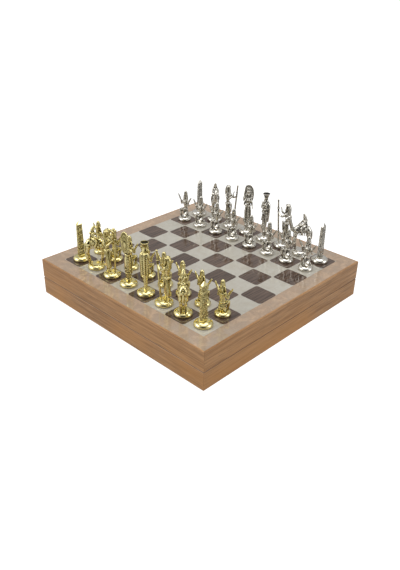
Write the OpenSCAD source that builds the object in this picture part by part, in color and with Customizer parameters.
// Themed chess set: a wooden storage box whose lift-off lid is the board,
// with cast metal pieces that stand on it. Origin at the middle of the box's underside.
// The gold side is at -Y, the silver side at +Y.

/* [Board] */
// Side of one square
square = 30; // [27:0.5:34]
// Width of the border round the squares
border = 20; // [16:0.5:26]
// Thickness of the printed top layer
film_t = 0.8; // [0.4:0.1:1.2]
// Width of the wooden edging round the border
edging_w = 2; // [1:0.1:4]
// Corner radius of the dark squares
dark_corner_r = 3.5; // [1:0.1:5]

/* [Box] */
// Height of the lid, board included
lid_h = 24.7; // [20:0.1:32]
// Height of the lower half
tray_h = 22.6; // [18:0.1:30]
// Thickness of the box's rails
rail_t = 10; // [8:0.5:12]
// Thickness of the panel under the board
panel_t = 4; // [3:0.5:6]
// Thickness of the bottom panel
floor_t = 3; // [2:0.5:5]
// Depth of the rebates that hold both panels
rebate = 5; // [3:0.5:6]
// Bevel along the seam between lid and lower half
seam_bevel = 0.7; // [0.3:0.1:1.5]
// Thickness of the lip that keeps the lid in place
lip_t = 2.5; // [1.5:0.5:4]
// Height of the lip above the seam
lip_rise = 4; // [2:0.5:8]

/* [Insert] */
// Thickness of the lining cloth
lining_t = 1; // [0.5:0.1:2]
// Thickness of the bars between the rows
bar_t = 3; // [2:0.5:5]
// Thickness of the walls between the slots
slot_wall_t = 2.4; // [1.5:0.1:4]
// Distance from the top of the bars down to the seam
insert_drop = 0.6; // [0.4:0.1:3]
// Room left round a lying piece
slot_room = 1.5; // [1:0.5:3]

/* [Pieces] */
// Height of the king
king_h = 65; // [56:0.5:76]
// Height of the queen
queen_h = 68; // [58:0.5:76]
// Height of the bishop's head
bishop_h = 60; // [50:0.5:68]
// Height of the bishop's staff
staff_h = 63; // [54:0.5:72]
// Height of the knight
knight_h = 55.5; // [46:0.5:62]
// Height of the rook
rook_h = 52.5; // [44:0.5:60]
// Height of the pawn
pawn_h = 43.5; // [36:0.5:50]
// Diameter of the main pieces' feet
foot_d = 21; // [18:0.5:24]
// Height of the main pieces' feet
foot_h = 6.6; // [5:0.1:9]
// Diameter of the pawns' feet
pawn_foot_d = 18.3; // [15:0.1:21]
// Height of the pawns' feet
pawn_foot_h = 5.8; // [4.5:0.1:8]
// Thickness of the felt under each piece
felt_t = 0.8; // [0.4:0.1:1.2]

/* [Fits] */
// Play between the lip and the lid
lip_play = 0.3; // [0.2:0.05:0.6]
// Glue line between mitred or inlaid pieces
glue_gap = 0.05; // [0.02:0.01:0.1]

/* [Hidden] */
$fn = 48;
files = 8;
field = files * square;
side = field + 2 * border;
seam_z = tray_h;
top_z = tray_h + lid_h;
core_z = top_z - film_t;
inner = side - 2 * rail_t;
well = inner - 2 * lip_t;
pad_top = floor_t + lining_t;
insert_top = seam_z - insert_drop;
slot_length = max(king_h, queen_h, bishop_h, staff_h) + 2 * slot_room;
slot_pitch = well / files;
gold_y = -3.5 * square;
gold_pawn_y = -2.5 * square;
brass = [0.86, 0.74, 0.33];
nickel = [0.74, 0.74, 0.70];
oak = [0.65, 0.48, 0.35];
velvet = [0.16, 0.16, 0.2];

SIDES = ["front", "right", "back", "left"];
COLOURS = ["gold", "silver"];
RANK = ["rook_1", "knight_1", "bishop_1", "king", "queen", "bishop_2", "knight_2", "rook_2"];

// Points along an arc, from angle a0 to angle a1
function arc(c, r, a0, a1, n) =
    [for (i = [0 : n]) let (a = a0 + (a1 - a0) * i / n) [c[0] + r[0] * cos(a), c[1] + r[1] * sin(a)]];

// A straight run with the section given as [distance inwards, height], mitred at both ends
module mitred_run(section) {
    reach = side / 2;
    top = top_z + 1;
    intersection() {
        rotate([90, 0, 90])
            linear_extrude(height = side, center = true)
                polygon([for (p = section) [p[0] - reach, p[1]]]);
        linear_extrude(height = top)
            polygon([[glue_gap - reach, -reach], [reach - glue_gap, -reach], [0, -glue_gap]]);
    }
}

// Turns a piece of the front onto another side
module on_side(name) {
    turn = 90 * search([name], SIDES)[0];
    rotate([0, 0, turn]) children();
}

module lid_rail(name) {
    ledge_z = core_z - panel_t;
    round_r = edging_w * 0.35;
    color(oak) on_side(name) mitred_run(concat(
        [
            [seam_bevel, seam_z], [rail_t, seam_z], [rail_t, ledge_z],
            [rail_t - rebate, ledge_z], [rail_t - rebate, core_z],
            [edging_w, core_z], [edging_w, top_z]
        ],
        arc([round_r, top_z - round_r], [round_r, round_r], 90, 180, 4),
        [[0, seam_z + seam_bevel]]
    ));
}

module base_rail(name) {
    color(oak) on_side(name) mitred_run([
        [0, 0], [rail_t - rebate, 0], [rail_t - rebate, floor_t],
        [rail_t, floor_t], [rail_t, seam_z],
        [seam_bevel, seam_z], [0, seam_z - seam_bevel]
    ]);
}

module lip(name) {
    out = rail_t + glue_gap;
    lead = lip_t / 3;
    top = seam_z + lip_rise;
    play = out + lip_play;
    color(oak) on_side(name) mitred_run([
        [out, floor_t], [rail_t + lip_t, floor_t], [rail_t + lip_t, top],
        [play + lead, top], [play, top - lead], [play, seam_z - lip_play], [out, seam_z - lip_play]
    ]);
}

module slab(width, z0, z1) {
    translate([-width / 2, -width / 2, z0]) cube([width, width, z1 - z0]);
}

module lid_panel() {
    color([0.72, 0.6, 0.45])
        slab(side - 2 * (rail_t - rebate + glue_gap), core_z - panel_t, core_z);
}

module base_floor() {
    color([0.5, 0.38, 0.26]) slab(side - 2 * (rail_t - rebate + glue_gap), 0, floor_t);
}

module border_strips() {
    color([0.7, 0.6, 0.53])
        for (name = SIDES)
            on_side(name) mitred_run([
                [edging_w + glue_gap, core_z], [border - glue_gap, core_z],
                [border - glue_gap, top_z], [edging_w + glue_gap, top_z]
            ]);
}

module rounded_square(width, r) {
    half = width / 2;
    polygon(concat(
        arc([half - r, half - r], [r, r], 0, 90, 4), arc([r - half, half - r], [r, r], 90, 180, 4),
        arc([r - half, r - half], [r, r], 180, 270, 4), arc([half - r, r - half], [r, r], 270, 360, 4)
    ));
}

// The places of the dark squares: the front right corner of the field is light
module at_dark_squares() {
    for (column = [0 : files - 1], row = [0 : files - 1])
        if ((column + row) % 2 == 0)
            translate([(column - (files - 1) / 2) * square, (row - (files - 1) / 2) * square, core_z])
                children();
}

module light_field() {
    color([0.74, 0.72, 0.68]) difference() {
        slab(field, core_z, top_z);
        at_dark_squares()
            translate([0, 0, -1])
                linear_extrude(height = film_t + 2) rounded_square(square, dark_corner_r);
    }
}

module dark_squares() {
    color([0.38, 0.33, 0.31]) at_dark_squares()
        linear_extrude(height = film_t) rounded_square(square - 2 * glue_gap, dark_corner_r);
}

module lid_lining() {
    top = core_z - panel_t;
    color(velvet) slab(inner - 2 * glue_gap, top - lining_t, top);
}

module insert_pad() {
    color(velvet) slab(well - 2 * glue_gap, floor_t, pad_top);
}

// A low wall with bevelled top edges, standing on the pad
module ridge(length, thickness) {
    bevel = thickness / 4;
    half = thickness / 2;
    translate([0, 0, pad_top]) rotate([90, 0, 90])
        linear_extrude(height = length, center = true) polygon([
            [-half, 0], [half, 0], [half, insert_top - pad_top - bevel],
            [half - bevel, insert_top - pad_top], [bevel - half, insert_top - pad_top],
            [-half, insert_top - pad_top - bevel]
        ]);
}

// Three bars part the well into two rows of slots and two troughs for the pawns
module cross_bars() {
    row_y = well / 2 - slot_length - bar_t / 2;
    color(velvet)
        for (y = [-row_y, 0, row_y])
            translate([0, y, 0]) ridge(well - 2 * glue_gap, bar_t);
}

module slot_walls(colour) {
    y = (well - slot_length) / 2;
    color(velvet)
        for (i = [1 : files - 1])
            translate([i * slot_pitch - well / 2, colour == "gold" ? -y : y, 0])
                rotate([0, 0, 90]) ridge(slot_length - 2 * glue_gap, slot_wall_t);
}

// A round bar that tapers between two points
module limb(from, to, r_from, r_to) {
    way = to - from;
    long = norm(way);
    translate(from)
        rotate([0, acos(way[2] / long), atan2(way[1], way[0])])
            cylinder(h = long, r1 = r_from, r2 = r_to);
}

module ball(at, r) {
    translate(at) sphere(r = r);
}

// The same limb on both sides of the body
module pair() {
    for (s = [1, -1])
        mirror([s < 0 ? 1 : 0, 0, 0]) children();
}

// A flat plate in the plane that the figure faces, drawn as [across, up]
module plate(points, y, thickness) {
    translate([0, y + thickness / 2, 0])
        rotate([90, 0, 0]) linear_extrude(height = thickness) polygon(points);
}

// The turned foot: a rolled edge, a step and a dome, over a disc of felt
module foot(d, h) {
    r = d / 2;
    roll = h / 6;
    dome_z = felt_t + 2.4 * roll;
    dome_r = r - 1.3 * roll;
    crown_r = r * 0.3;
    rotate_extrude()
        polygon(concat(
            [[0, felt_t], [r - roll, felt_t]],
            arc([r - roll, felt_t + roll], [roll, roll], -60, 90, 6),
            [[dome_r, dome_z - 0.4 * roll]],
            arc([crown_r, dome_z], [dome_r - crown_r, h - dome_z], 0, 90, 6),
            [[0, h]]
        ));
    cylinder(h = felt_t, r = r - roll);
}

module revolved(points) {
    rotate_extrude() polygon(points);
}

module king() {
    grow = (king_h - foot_h) / 58.4;
    foot(foot_d, foot_h);
    translate([0, 0, foot_h]) scale(grow) {
        // Robe, waist, chest and shoulders
        revolved([
            [0, -1.2], [3, -1.2], [2.7, 1.4], [2.5, 6], [2.8, 14], [3.5, 21], [3.7, 27], [3.2, 32.6],
            [3.8, 37], [4.5, 41], [4.3, 44.2], [3.2, 46.2], [1.6, 47.3], [1.4, 49.4], [0, 49.4]
        ]);
        // Apron
        plate([[-1.5, 30], [1.5, 30], [2.2, 13], [-2.2, 13]], 3.4, 1.6);
        // Head, beard and the tall crown, which flares to a flat top
        ball([0, 0.2, 50.3], 2.35);
        limb([0, 1.8, 49.2], [0, 2.9, 44.8], 0.8, 0.5);
        revolved([
            [0, 51.2], [2.55, 51.2], [2.65, 53], [3.1, 54.6], [4, 56.2],
            [4.4, 57.2], [4.6, 58], [4.4, 58.4], [0, 58.4]
        ]);
        // Arms crossed before the chest, with crook and flail
        pair() ball([4.5, -0.2, 43.6], 1.8);
        pair() limb([4.5, -0.2, 43.6], [5.6, 1.2, 37.4], 1.6, 1.4);
        pair() ball([5.6, 1.2, 37.4], 1.7);
        limb([5.6, 1.2, 37.4], [-0.6, 5.2, 39.4], 1.3, 1);
        limb([-5.6, 1.2, 37.4], [0.6, 5, 36.4], 1.3, 1);
        limb([-1.4, 5.3, 35.2], [2.6, 4.7, 46.2], 0.6, 0.6);
        limb([1.4, 5.2, 33.4], [-2.6, 4.7, 43.8], 0.6, 0.6);
        // Cape, hung from the shoulders
        difference() {
            translate([0, -0.7, 21]) cylinder(h = 23, r1 = 5.2, r2 = 5.7);
            translate([0, -0.7, 20]) cylinder(h = 17, r1 = 4.2, r2 = 4.8);
            translate([-9, 0.3, 19]) cube([18, 9, 30]);
        }
    }
}

module queen() {
    grow = (queen_h - foot_h) / 61.4;
    foot(foot_d, foot_h);
    translate([0, 0, foot_h]) scale(grow) {
        // Sheath dress
        revolved([
            [0, -1.2], [3.5, -1.2], [3.3, 1.4], [3.4, 6], [3.9, 13], [4.4, 20], [4.4, 25],
            [3.7, 30], [3.2, 33], [3.6, 36.6], [3.9, 39.6], [3.1, 42], [1.4, 43.2], [1.3, 46], [0, 46]
        ]);
        for (z = [8, 12.5, 17]) translate([0, 0, z]) cylinder(h = 1.1, r = 4.5);
        // Head, wig and disc between horns
        ball([0, 0.3, 47], 2.4);
        revolved([[0, 49.6], [1.9, 49.4], [2.9, 47.5], [3.1, 44], [3.6, 40], [2.4, 39.6], [0, 42]]);
        revolved([[0, 49], [2, 49], [2.2, 51.2], [1.6, 52.6], [0, 52.6]]);
        // The raised wings meet over the head and come down on both sides
        plate(concat(
            [[-3, 34], [5.4, 36.4], [6.8, 39.4], [6, 46.4], [4.9, 53]],
            arc([0.2, 47], [7.8, 14.4], 58, 236, 16)
        ), -2.6, 1.7);
        plate(concat(
            [[-2, 37], [4.6, 39.4], [4.4, 46.4]],
            arc([-0.2, 46.6], [5.9, 11.6], 62, 230, 14)
        ), -1.3, 1.5);
        // Arms
        pair() limb([3.5, -0.2, 39.6], [5.1, 1, 33.8], 1.5, 1.2);
        pair() ball([5.1, 1, 33.8], 1.4);
        limb([5.1, 1, 33.8], [0.8, 4.4, 36.6], 1.2, 0.9);
        limb([-5.1, 1, 33.8], [-5.6, 4, 30.6], 1.2, 0.9);
    }
}

module bishop() {
    grow = (bishop_h - foot_h) / 53.4;
    hip_z = 27;
    // The figure stands behind its staff and to one side
    body_x = 2.2;
    body_y = -4;
    grip = [-0.3, 8.9, 39.7];
    foot(foot_d, foot_h);
    // Long staff: it leans away from the figure
    limb([0, 5.2, foot_h - 3], [0, 10.2, staff_h], 1, 0.9);
    translate([0, 0, foot_h]) scale(grow) {
        translate([body_x, body_y, 0]) {
            // Striding legs in a long pleated kilt
            limb([1.3, 5.4, -1.6], [1.2, 0.4, hip_z], 1.5, 2.5);
            limb([-1.3, -2.8, -1.9], [-1.2, -0.4, hip_z], 1.5, 2.5);
            limb([1.3, 4, 6], [1, 0.2, hip_z], 2.8, 2.8);
            limb([-1.3, -2, 6], [-1, -0.3, hip_z], 2.8, 2.8);
            // Waist, belt and chest
            revolved([
                [0, 24.6], [4, 24.6], [4.2, 26.4], [3.8, 28.4], [3, 29], [2.9, 31],
                [3.8, 36], [4, 39], [2.6, 41.4], [1.5, 42.4], [1.4, 45], [0, 45]
            ]);
            plate([[-1.3, 27], [1.3, 27], [1.7, 15], [-1.7, 15]], 3.6, 1.6);
            // Head and long wig
            ball([0, 1.2, 47.6], 2.5);
            difference() {
                revolved([
                    [0, 53.4], [1.7, 52.9], [3, 51], [3.5, 48], [3.7, 43], [4.2, 38], [3.4, 36.6], [0, 36.6]
                ]);
                translate([-5, 1.7, 30]) cube([10, 6, 20.6]);
            }
            pair() ball([4.1, 0, 39], 1.7);
        }
        // One hand holds the staff, the other is raised before the chest
        limb([body_x - 4.1, body_y, 39], [-2.4, 2.2, 37.2], 1.6, 1.3);
        ball([-2.4, 2.2, 37.2], 1.45);
        limb([-2.4, 2.2, 37.2], grip, 1.25, 1);
        ball(grip, 1.5);
        limb([body_x + 4.1, body_y, 39], [6.2, 0.2, 34.2], 1.6, 1.3);
        ball([6.2, 0.2, 34.2], 1.5);
        limb([6.2, 0.2, 34.2], [2.4, 4.8, 40], 1.25, 1);
        ball([2.4, 4.8, 40], 1.3);
        limb([2.4, 4.8, 40], [1.6, 5.8, 46], 0.95, 0.75);
    }
}

module knight() {
    grow = (knight_h - foot_h) / 48.9;
    // The camel's neck dips and then rises: [along, up] and the radius there
    neck = [[7, 27, 3.1], [11, 25.8, 2.5], [13.4, 29, 2.2], [15.4, 36, 1.95], [16.9, 42.4, 1.9]];
    foot(foot_d, foot_h);
    translate([0, 0, foot_h]) scale(grow) {
        // Camel: barrel, hump, chest and haunches
        limb([0, 6.6, 26], [0, -7, 26.6], 4.1, 4.5);
        ball([0, 6.8, 25.6], 4.4);
        ball([0, -0.6, 29.4], 4.7);
        pair() ball([1.7, -7.6, 25.4], 3.7);
        // Legs, front and hind, with the hooves on the dome
        pair() limb([2.4, 7.6, 24], [2.6, 8.4, 13.6], 2.5, 1.6);
        pair() ball([2.6, 8.4, 13.6], 1.8);
        pair() limb([2.6, 8.4, 13.6], [2.5, 7, -2.2], 1.55, 1.35);
        pair() limb([2.6, -8, 23.6], [2.7, -9.4, 13.2], 2.6, 1.5);
        pair() ball([2.7, -9.4, 13.2], 1.75);
        pair() limb([2.7, -9.4, 13.2], [2.5, -6.8, -2.2], 1.5, 1.35);
        // Neck, head and ears
        for (i = [1 : len(neck) - 1]) {
            a = neck[i - 1];
            b = neck[i];
            limb([0, a[0], a[1]], [0, b[0], b[1]], a[2], b[2]);
            ball([0, b[0], b[1]], b[2] + 0.05);
        }
        limb([0, 16.6, 42.6], [0, 21.6, 40.8], 2, 1.5);
        ball([0, 21.6, 40.8], 1.6);
        pair() limb([1.1, 16.4, 43.6], [1.7, 15.4, 46], 0.7, 0.3);
        // Tail
        limb([0, -10.6, 27], [0, -12.4, 16], 1, 0.8);
        // Saddle cloth
        translate([0, -0.4, 26.4]) rotate([90, 0, 0]) cylinder(h = 8.6, r = 4.9, center = true);
        // Rider: legs, torso, arms and head
        pair() limb([2, -1.4, 32], [4.5, 2.2, 29.6], 1.6, 1.3);
        pair() ball([4.5, 2.2, 29.6], 1.45);
        pair() limb([4.5, 2.2, 29.6], [4.9, 0.8, 23.4], 1.25, 0.9);
        limb([0, -1.6, 31], [0, -1.5, 39.2], 2.7, 2.9);
        pair() ball([2.9, -1.4, 38.8], 1.35);
        pair() limb([2.9, -1.4, 38.8], [3.8, 1.4, 35], 1.25, 1.05);
        pair() ball([3.8, 1.4, 35], 1.15);
        pair() limb([3.8, 1.4, 35], [0.9, 4.8, 33.4], 0.95, 0.8);
        ball([0, -0.9, 42], 2.1);
        translate([0, -1.6, 0])
            revolved([[0, 37.6], [3.1, 38], [2.9, 40], [2.6, 42.4], [2.1, 43.8], [0, 44.2]]);
        // Tall flat crown
        plate(concat(
            [[-2.3, 43]], arc([0, 44.2], [2.75, 4.7], 180, 0, 12), [[2.3, 43]]
        ), -1.2, 2.4);
    }
}

module rook() {
    // The shaft is a flat obelisk: [across, front to back] at its base and its head
    shaft_base = [8.8, 4.8];
    shaft_head = [7, 3.9];
    shoulder_z = rook_h - 4.8;
    foot_in = 1.6;
    registers = 6;
    groove = 0.5;
    low = foot_h - foot_in;
    pitch = (shoulder_z - foot_h) / registers;
    foot(foot_d, foot_h);
    difference() {
        intersection_for (k = [0, 1])
            rotate([0, 0, 90 * k]) plate([
                [-shaft_base[k] / 2, low], [shaft_base[k] / 2, low], [shaft_head[k] / 2, shoulder_z],
                [0.25, rook_h], [-0.25, rook_h], [-shaft_head[k] / 2, shoulder_z]
            ], 0, 2 * shaft_base[0]);
        // Grooves that part the carved registers
        for (i = [1 : registers], turn = [0 : 90 : 270]) {
            k = turn % 180 == 0 ? 0 : 1;
            z = foot_h + i * pitch;
            share = (z - low) / (shoulder_z - low);
            half = (shaft_base[k] + (shaft_head[k] - shaft_base[k]) * share) / 2;
            rotate([0, 0, turn])
                translate([half - groove, -shaft_base[0], z - groove])
                    cube([shaft_base[0], 2 * shaft_base[0], groove]);
        }
    }
}

module pawn() {
    grow = (pawn_h - pawn_foot_h) / 37.7;
    foot(pawn_foot_d, pawn_foot_h);
    translate([0, 0, pawn_foot_h]) scale(grow) {
        // Kneeling legs: the right knee is up
        ball([0, -2.4, 5.6], 3.9);
        limb([1.7, -2, 7], [4, 3.7, 11], 2.6, 1.95);
        ball([4, 3.7, 11], 2.1);
        limb([4, 3.7, 11], [3.3, 3.6, -1.6], 1.8, 1.35);
        limb([-1.7, -2.4, 5.6], [-3.9, 4, 3.8], 2.6, 2);
        ball([-3.9, 4, 3.8], 2.15);
        limb([-3.9, 4, 3.8], [-3.2, -3.6, -0.4], 1.8, 1.3);
        // Kilt, torso, collar and neck
        translate([0, -1.4, 0]) revolved([
            [0, 3], [4, 4], [4.3, 8], [3.3, 12.4], [3.2, 15], [3.9, 19.6], [4, 22],
            [3, 23.8], [1.7, 24.8], [1.5, 27], [0, 27]
        ]);
        plate([[-1.2, 12], [1.2, 12], [1.9, 3], [-1.9, 3]], 2.6, 1.4);
        // Head under a tall rounded wig
        ball([0, -0.4, 28.4], 2.4);
        difference() {
            translate([0, -1.2, 0]) revolved([
                [0, 23.6], [3.6, 23.6], [3.5, 26], [3.3, 29], [2.9, 32], [2.3, 35],
                [1.7, 36.7], [0.9, 37.5], [0, 37.7]
            ]);
            translate([-5, 1, 20]) cube([10, 6, 11.2]);
        }
        // Arms bent upwards, with an upright plume in each hand
        pair() ball([3.9, -1.3, 21.6], 1.75);
        pair() limb([3.9, -1.3, 21.6], [6.8, -0.4, 15.6], 1.6, 1.3);
        pair() ball([6.8, -0.4, 15.6], 1.45);
        pair() limb([6.8, -0.4, 15.6], [7.1, 0.4, 21.6], 1.2, 1.05);
        pair() ball([7.1, 0.4, 22], 1.4);
        pair() plate([
            [6.2, 21.4], [7.9, 21.2], [10, 24.2], [12.4, 28.2], [13, 30], [12.8, 31], [12, 30.8], [9, 27.4]
        ], 0.3, 1.7);
    }
}

// How far each back-rank piece is turned from facing the far side, seen from above
function turn_of(colour, i) =
    [90, 45, 90, 0, colour == "gold" ? 0 : -45, -90, -45, 90][i];

// A piece of the gold side, or its twin on the silver side
module placed(colour, i, y, turn) {
    x = ((files - 1) / 2 - i) * square;
    s = colour == "gold" ? 1 : -1;
    color(colour == "gold" ? brass : nickel)
        translate([x, s * y, top_z])
            rotate([0, 0, s > 0 ? turn : 180 - turn]) children();
}

module ranked(colour, i) {
    placed(colour, i, gold_y, turn_of(colour, i)) {
        if (i == 0 || i == 7) rook();
        if (i == 1 || i == 6) knight();
        if (i == 2 || i == 5) bishop();
        if (i == 3) king();
        if (i == 4) queen();
    }
}

lid_panel();
border_strips();
light_field();
dark_squares();
lid_lining();
base_floor();
insert_pad();
cross_bars();
for (name = SIDES) {
    lid_rail(name);
    base_rail(name);
    lip(name);
}
for (colour = COLOURS) {
    slot_walls(colour);
    for (i = [0 : files - 1]) {
        ranked(colour, i);
        placed(colour, i, gold_pawn_y, 0) pawn();
    }
}
